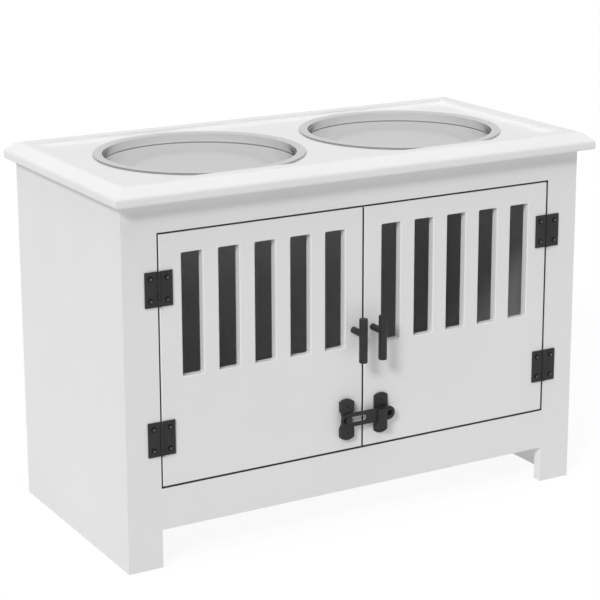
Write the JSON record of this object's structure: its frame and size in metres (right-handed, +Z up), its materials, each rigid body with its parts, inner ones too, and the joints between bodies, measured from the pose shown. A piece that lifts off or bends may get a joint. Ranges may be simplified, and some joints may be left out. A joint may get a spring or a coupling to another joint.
{
  "type": "raised dog feeder with storage",
  "caption": "Raised feeding station for a large dog: white storage cabinet with slotted double doors, black hinges, pulls and slide latch, and lift-out steel bowls in a framed top.",
  "frame": {"origin": "on the floor, under the centre of the object's overall box, pulls included", "axes": "+X along the width towards the right-hand door, +Y towards the back, +Z up"},
  "size_m": [0.6, 0.3074, 0.4185],
  "materials": {
    "white_paint": "satin white paint on board",
    "painted_hardboard": "white painted hardboard",
    "black_steel": "matte black powder coat",
    "stainless_steel": "polished stainless steel",
    "zinc_steel": "zinc plated",
    "bumper_rubber": "soft clear-grey rubber"
  },
  "bodies": {
    "cabinet": {"side_panel_left": "white_paint", "side_panel_right": "white_paint", "back_panel": "painted_hardboard", "shelf_panel": "white_paint", "stile_left": "white_paint", "stile_right": "white_paint", "top_rail": "white_paint", "bottom_rail": "white_paint", "top_cleat_left": "white_paint", "top_cleat_right": "white_paint", "shelf_cleat_left": "white_paint", "shelf_cleat_right": "white_paint", "cleat_screws": "zinc_steel", "back_screws": "zinc_steel", "door_stop": "white_paint", "stop_bumpers": "bumper_rubber", "top_field": "white_paint", "moulding_front": "white_paint", "moulding_back": "white_paint", "moulding_left": "white_paint", "moulding_right": "white_paint", "frame_leaf_upper_left": "black_steel", "frame_leaf_lower_left": "black_steel", "frame_leaf_upper_right": "black_steel", "frame_leaf_lower_right": "black_steel", "hinge_pins": "black_steel", "frame_leaf_screws": "black_steel"},
    "left_door": {"door_left": "white_paint", "door_leaf_upper_left": "black_steel", "door_leaf_lower_left": "black_steel", "door_leaf_screws_left": "black_steel", "pull_bar_left": "black_steel", "pull_post_left": "black_steel", "pull_screw_left": "zinc_steel", "latch_base": "black_steel", "latch_base_screws": "black_steel"},
    "right_door": {"door_right": "white_paint", "door_leaf_upper_right": "black_steel", "door_leaf_lower_right": "black_steel", "door_leaf_screws_right": "black_steel", "pull_bar_right": "black_steel", "pull_post_right": "black_steel", "pull_screw_right": "zinc_steel", "latch_keeper": "black_steel", "latch_keeper_screws": "black_steel"},
    "rivet": {"latch_rivet": "black_steel"},
    "arm": {"latch_arm": "black_steel"},
    "left_bowl": {"bowl_left": "stainless_steel"},
    "right_bowl": {"bowl_right": "stainless_steel"}
  },
  "joints": [
    {"name": "door_left_swing", "type": "hinge", "parent": "cabinet", "child": "left_door", "pos_m": [-0.2472, -0.13003, 0.1445], "axis": [0, 0, -1], "range_deg": [0, 150]},
    {"name": "door_right_swing", "type": "hinge", "parent": "cabinet", "child": "right_door", "pos_m": [0.2472, -0.13003, 0.1445], "axis": [0, 0, 1], "range_deg": [0, 150]},
    {"name": "latch_turn", "type": "hinge", "parent": "left_door", "child": "rivet", "pos_m": [-0.0225, -0.12832, 0.1265], "axis": [0, -1, 0], "range_deg": [0, 270]},
    {"name": "latch_slide", "type": "slide", "parent": "rivet", "child": "arm", "axis": [1, 0, 0], "range_m": [-0.02, 0.003]},
    {"name": "bowl_left_lift", "type": "slide", "parent": "cabinet", "child": "left_bowl", "axis": [0, 0, 1], "range_m": [0, 0.07]},
    {"name": "bowl_right_lift", "type": "slide", "parent": "cabinet", "child": "right_bowl", "axis": [0, 0, 1], "range_m": [0, 0.07]}
  ]
}
